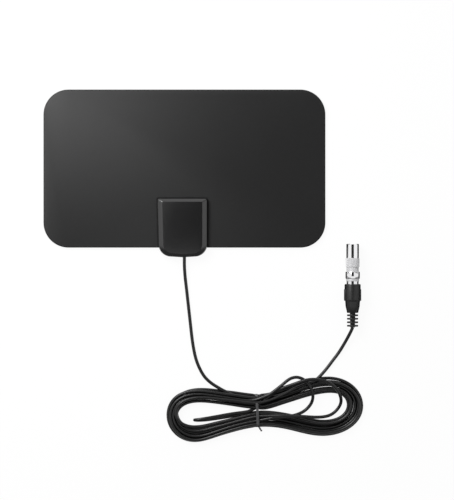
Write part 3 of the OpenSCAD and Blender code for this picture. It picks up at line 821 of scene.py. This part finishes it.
def grain_and_painted_shade_group():
    """Fine bumps from the mould as a height, and a mask of painted shade that lightens their tops and darkens
    their hollows a little.
    """
    group, ins, outs = new_group(
        "grain_and_painted_shade",
        [("Scale", "NodeSocketFloat", 2500.0), ("Roundness", "NodeSocketFloat", 0.5)],
        [("Height", "NodeSocketFloat"), ("Tops", "NodeSocketFloat")])
    place = node(group, "ShaderNodeTexCoord")
    fine = node(group, "ShaderNodeTexNoise")
    fine.inputs["Detail"].default_value = 2
    cells = node(group, "ShaderNodeTexVoronoi")
    mix = node(group, "ShaderNodeMix", data_type="FLOAT")
    # The tops mask is painted shade: the colour darker in the grain's hollows and lighter on its tops.
    tops = node(group, "ShaderNodeMapRange")
    tops.inputs["From Min"].default_value = 0.35
    tops.inputs["From Max"].default_value = 0.75
    for texture in (fine, cells):
        group.links.new(place.outputs["Object"], texture.inputs["Vector"])
        group.links.new(ins.outputs["Scale"], texture.inputs["Scale"])
    group.links.new(ins.outputs["Roundness"], mix.inputs["Factor"])
    group.links.new(fine.outputs["Fac"], mix.inputs["A"])
    group.links.new(cells.outputs["Distance"], mix.inputs["B"])
    group.links.new(mix.outputs["Result"], tops.inputs["Value"])
    group.links.new(mix.outputs["Result"], outs.inputs["Height"])
    group.links.new(tops.outputs["Result"], outs.inputs["Tops"])
    return group


def handling_group():
    """Slow clouds of shine and a few finer smears, as a mask round one half."""
    group, ins, outs = new_group(
        "handling", [("Scale", "NodeSocketFloat", 40.0), ("Contrast", "NodeSocketFloat", 0.5)],
        [("Mask", "NodeSocketFloat")])
    place = node(group, "ShaderNodeTexCoord")
    cloud = node(group, "ShaderNodeTexNoise")
    cloud.inputs["Detail"].default_value = 4
    cloud.inputs["Distortion"].default_value = 0.6
    spread = node(group, "ShaderNodeMath", operation="SUBTRACT")
    spread.inputs[1].default_value = 0.5
    strength = node(group, "ShaderNodeMath", operation="MULTIPLY_ADD")
    strength.inputs[2].default_value = 0.5
    group.links.new(place.outputs["Object"], cloud.inputs["Vector"])
    group.links.new(ins.outputs["Scale"], cloud.inputs["Scale"])
    group.links.new(cloud.outputs["Fac"], spread.inputs[0])
    group.links.new(spread.outputs[0], strength.inputs[0])
    group.links.new(ins.outputs["Contrast"], strength.inputs[1])
    group.links.new(strength.outputs[0], outs.inputs["Mask"])
    return group


grain_and_painted_shade = grain_and_painted_shade_group()
handling = handling_group()
print("groups:", grain_and_painted_shade.name, handling.name)

# %% [markdown]
# ## Finishes
# One helper makes a material: a shader whose plain numbers are set on its own sockets, the
# grain as bump and as painted shade in the colour, darker in its hollows and lighter on its
# tops, and the handling mask as a small change of roughness. What differs from finish to finish is only the
# values.

# %% The finish helper
def finish_material(name, color, roughness, metallic=0.0, specular=0.5, grain_scale=2500.0,
                    grain_height=0.02, grain_round=0.5, cloud_scale=40.0, cloud=0.08, painted_shade_amount=0.12,
                    coat=0.0):
    """A material. Heights are in millimetres, colours are linear."""
    material = bpy.data.materials.new(name)
    material.use_nodes = True
    tree = material.node_tree
    shader = tree.nodes["Principled BSDF"]
    shader.inputs["Metallic"].default_value = metallic
    shader.inputs["Specular IOR Level"].default_value = specular
    shader.inputs["Coat Weight"].default_value = coat
    shader.inputs["Coat Roughness"].default_value = 0.12
    grain = node(tree, "ShaderNodeGroup", node_tree=grain_and_painted_shade)
    grain.inputs["Scale"].default_value = grain_scale
    grain.inputs["Roundness"].default_value = grain_round
    clouds = node(tree, "ShaderNodeGroup", node_tree=handling)
    clouds.inputs["Scale"].default_value = cloud_scale
    clouds.inputs["Contrast"].default_value = 1.0
    shine = node(tree, "ShaderNodeMapRange")
    shine.inputs["To Min"].default_value = max(roughness - cloud, 0.02)
    shine.inputs["To Max"].default_value = min(roughness + cloud, 1.0)
    # Painted shade: the colour goes from darker in the grain's hollows to lighter on its tops.
    shade = node(tree, "ShaderNodeMix", data_type="RGBA")
    shade.inputs["A"].default_value = (*(c * (1 - painted_shade_amount) for c in color), 1)
    shade.inputs["B"].default_value = (*(min(c * (1 + painted_shade_amount), 1) for c in color), 1)
    bump = node(tree, "ShaderNodeBump")
    bump.inputs["Strength"].default_value = 1.0
    bump.inputs["Distance"].default_value = grain_height * MM
    tree.links.new(clouds.outputs["Mask"], shine.inputs["Value"])
    tree.links.new(shine.outputs["Result"], shader.inputs["Roughness"])
    tree.links.new(grain.outputs["Tops"], shade.inputs["Factor"])
    tree.links.new(shade.outputs["Result"], shader.inputs["Base Color"])
    tree.links.new(grain.outputs["Height"], bump.inputs["Height"])
    tree.links.new(bump.outputs["Normal"], shader.inputs["Normal"])
    return material


# %% Values of each finish
finishes = {
    "panel_plastic": finish_material("panel_plastic", (0.006, 0.006, 0.0062), 0.48, specular=0.34,
                                     grain_scale=1800, grain_height=0.03, cloud_scale=14,
                                     cloud=0.05, painted_shade_amount=0.25),
    "housing_plastic": finish_material("housing_plastic", (0.004, 0.004, 0.0042), 0.24, specular=0.85,
                                       grain_scale=2600, grain_height=0.004, cloud_scale=60,
                                       cloud=0.03),
    "foil": finish_material("foil", (0.80, 0.80, 0.82), 0.28, metallic=1, grain_scale=900,
                            grain_height=0.01, painted_shade_amount=0.04),
    "board": finish_material("board", (0.05, 0.25, 0.09), 0.3, grain_scale=1500, coat=0.3),
    "ferrite": finish_material("ferrite", (0.05, 0.05, 0.055), 0.7, grain_scale=3500),
    "copper_wire": finish_material("copper_wire", (0.75, 0.38, 0.20), 0.3, metallic=1),
    "contact_brass": finish_material("contact_brass", (0.70, 0.55, 0.28), 0.3, metallic=1),
    "screw_steel": finish_material("screw_steel", (0.55, 0.55, 0.57), 0.35, metallic=1),
    "white_nylon": finish_material("white_nylon", (0.80, 0.80, 0.76), 0.45, painted_shade_amount=0.03),
    "white_insulation": finish_material("white_insulation", (0.85, 0.85, 0.82), 0.4, painted_shade_amount=0.03),
    "cord_jacket": finish_material("cord_jacket", (0.003, 0.003, 0.003), 0.3, specular=0.45, grain_scale=1500,
                                   grain_height=0.003, grain_round=0.0, cloud_scale=90, cloud=0.07),
    "tie_plastic": finish_material("tie_plastic", (0.075, 0.075, 0.077), 0.45, grain_scale=1500,
                                   grain_height=0.01),
    "boot_plastic": finish_material("boot_plastic", (0.008, 0.008, 0.008), 0.36, grain_scale=2200,
                                    grain_height=0.015, cloud_scale=120),
    "nickel_plate": finish_material("nickel_plate", (0.86, 0.86, 0.87), 0.08, metallic=1,
                                    grain_height=0.001, cloud=0.04, painted_shade_amount=0.03),
    "bright_plate": finish_material("bright_plate", (0.92, 0.92, 0.93), 0.06, metallic=1,
                                    grain_height=0.0005, cloud=0.03, painted_shade_amount=0.02),
    "dull_plate": finish_material("dull_plate", (0.62, 0.62, 0.63), 0.6, metallic=0.3,
                                  grain_height=0.002, cloud_scale=200, painted_shade_amount=0.06),
}

# %% Give every piece its finish
slots = {item["node"]: item["material_slot"] for item in frame["record"]["subparts"]}


def dress(obj, finish):
    if obj.material_slots:
        for slot in obj.material_slots:
            slot.material = finish
    else:
        obj.data.materials.append(finish)


for name, obj in nodes.items():
    dress(obj, finishes[slots[name]])
made_pieces = (cord, tie, thread, shell, plate, boot, nut, collar)
for piece in made_pieces:
    dress(piece, finishes[piece["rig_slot"]])
print("dressed:", len(nodes) + len(made_pieces))

# %% List the cord's points
[list(p) for p in cord_line]

# %% [markdown]
# ## Floor and light
# The photograph has a white ground. The floor is a plain pale surface that the camera, and
# what shines, sees nearly white, while it still keeps a part of the real shadow. The light is
# that of a copy stand: pale walls left and right, a dark hood overhead, which is the dark
# stripe in the bright barrel, dark cards beside the plug, which are the barrel's dark edges,
# and one soft lamp at the upper left.

# %% The floor
def white_to_camera(tree, plain, share):
    """Mix a plain shader with white light for rays that show the background."""
    path = node(tree, "ShaderNodeLightPath")
    either = node(tree, "ShaderNodeMath", operation="MAXIMUM")
    any_ray = node(tree, "ShaderNodeMath", operation="MAXIMUM")
    part = node(tree, "ShaderNodeMath", operation="MULTIPLY")
    part.inputs[1].default_value = share
    white = node(tree, "ShaderNodeEmission")
    mix = node(tree, "ShaderNodeMixShader")
    tree.links.new(path.outputs["Is Camera Ray"], either.inputs[0])
    tree.links.new(path.outputs["Is Glossy Ray"], either.inputs[1])
    tree.links.new(either.outputs[0], any_ray.inputs[0])
    tree.links.new(path.outputs["Is Transmission Ray"], any_ray.inputs[1])
    tree.links.new(any_ray.outputs[0], part.inputs[0])
    tree.links.new(part.outputs[0], mix.inputs[0])
    tree.links.new(plain, mix.inputs[1])
    tree.links.new(white.outputs[0], mix.inputs[2])
    return mix.outputs[0]


nothing_selected()
bpy.ops.mesh.primitive_plane_add(size=6, location=(0, 0, min(cad_low.z, 0) - 0.05 * MM))
floor = bpy.context.object
floor.name = "floor"
floor_paint = bpy.data.materials.new("floor_paint")
floor_paint.use_nodes = True
floor_tree = floor_paint.node_tree
floor_shader = floor_tree.nodes["Principled BSDF"]
floor_shader.inputs["Base Color"].default_value = (0.86, 0.86, 0.86, 1)
floor_shader.inputs["Roughness"].default_value = 0.9
floor_out = floor_tree.nodes["Material Output"]
floor_tree.links.new(white_to_camera(floor_tree, floor_shader.outputs[0], 0.93),
                     floor_out.inputs["Surface"])
dress(floor, floor_paint)

# %% Black cards that only the reflections see
card_paint = bpy.data.materials.new("card_paint")
card_paint.use_nodes = True
card_shader = card_paint.node_tree.nodes["Principled BSDF"]
card_shader.inputs["Base Color"].default_value = (0.01, 0.01, 0.01, 1)
card_shader.inputs["Roughness"].default_value = 0.9
plug_x = plug_axis.x
cards = {"left_card": ((plug_x - 60 * MM, plug_x - 6 * MM), (-130 * MM, -30 * MM), 0.02 * MM),
         "right_card": ((plug_x + 6 * MM, plug_x + 140 * MM), (-130 * MM, -30 * MM), 0.02 * MM),
         "hood": ((plug_x - 288 * MM, plug_x + 212 * MM), (-0.165, 0.28), 0.6)}
for name, (across, along, height) in cards.items():
    bpy.ops.mesh.primitive_plane_add(size=1, location=(sum(across) / 2, sum(along) / 2, height))
    card = bpy.context.object
    card.name = name
    card.scale = (across[1] - across[0], along[1] - along[0], 1)
    bpy.ops.object.transform_apply(location=True, rotation=True, scale=True)
    card.visible_camera = card.visible_diffuse = card.visible_shadow = False
    dress(card, card_paint)
print("cards:", list(cards))

# %% The walls
world = bpy.data.worlds.new("copy_stand")
bpy.context.scene.world = world
world.use_nodes = True
sky = world.node_tree
sky.nodes.clear()
side_level, back_level, dark_level = 0.95, 1.1, 0.2
direction = node(sky, "ShaderNodeTexCoord")
axes = node(sky, "ShaderNodeSeparateXYZ")
above = node(sky, "ShaderNodeMath", operation="MAXIMUM")
above.inputs[1].default_value = 0.001
lean = node(sky, "ShaderNodeMath", operation="DIVIDE")
lean_size = node(sky, "ShaderNodeMath", operation="ABSOLUTE")
sides = node(sky, "ShaderNodeMapRange", interpolation_type="SMOOTHSTEP")
for label, value in (("From Min", 0.4), ("From Max", 0.65), ("To Min", side_level), ("To Max", dark_level)):
    sides.inputs[label].default_value = value
back = node(sky, "ShaderNodeMapRange", interpolation_type="SMOOTHSTEP")
for label, value in (("From Min", 0.9), ("From Max", 1.3), ("To Min", 0), ("To Max", back_level)):
    back.inputs[label].default_value = value
level = node(sky, "ShaderNodeMath", operation="MAXIMUM")
sky.links.new(direction.outputs["Generated"], axes.inputs[0])
sky.links.new(axes.outputs["Z"], above.inputs[0])
sky.links.new(axes.outputs["Y"], lean.inputs[0])
sky.links.new(above.outputs[0], lean.inputs[1])
sky.links.new(lean.outputs[0], lean_size.inputs[0])
sky.links.new(lean_size.outputs[0], sides.inputs["Value"])
sky.links.new(lean.outputs[0], back.inputs["Value"])
sky.links.new(sides.outputs["Result"], level.inputs[0])
sky.links.new(back.outputs["Result"], level.inputs[1])
studio = node(sky, "ShaderNodeBackground")
plain_white = node(sky, "ShaderNodeBackground")
sky_path = node(sky, "ShaderNodeLightPath")
sky_mix = node(sky, "ShaderNodeMixShader")
sky_out = node(sky, "ShaderNodeOutputWorld")
sky.links.new(level.outputs[0], studio.inputs["Strength"])
studio.inputs["Color"].default_value = (1, 1, 1, 1)
plain_white.inputs["Color"].default_value = (1, 1, 1, 1)
sky.links.new(sky_path.outputs["Is Camera Ray"], sky_mix.inputs[0])
sky.links.new(studio.outputs[0], sky_mix.inputs[1])
sky.links.new(plain_white.outputs[0], sky_mix.inputs[2])
sky.links.new(sky_mix.outputs[0], sky_out.inputs["Surface"])

# %% The lamp at the upper left
lamp_place = Vector((-0.24, 0.20, 0.42))
bpy.ops.object.light_add(type="AREA", location=lamp_place)
lamp = bpy.context.object
lamp.name = "soft_lamp"
lamp.data.shape = "SQUARE"
lamp.data.size = 0.3
lamp.data.energy = 2.7
lamp.rotation_euler = (Vector((0.03, -0.06, 0)) - lamp_place).to_track_quat("-Z", "Y").to_euler()
lamp.visible_camera = False

bpy.context.scene.view_settings.view_transform = "Standard"
print("lamp power in W:", lamp.data.energy)
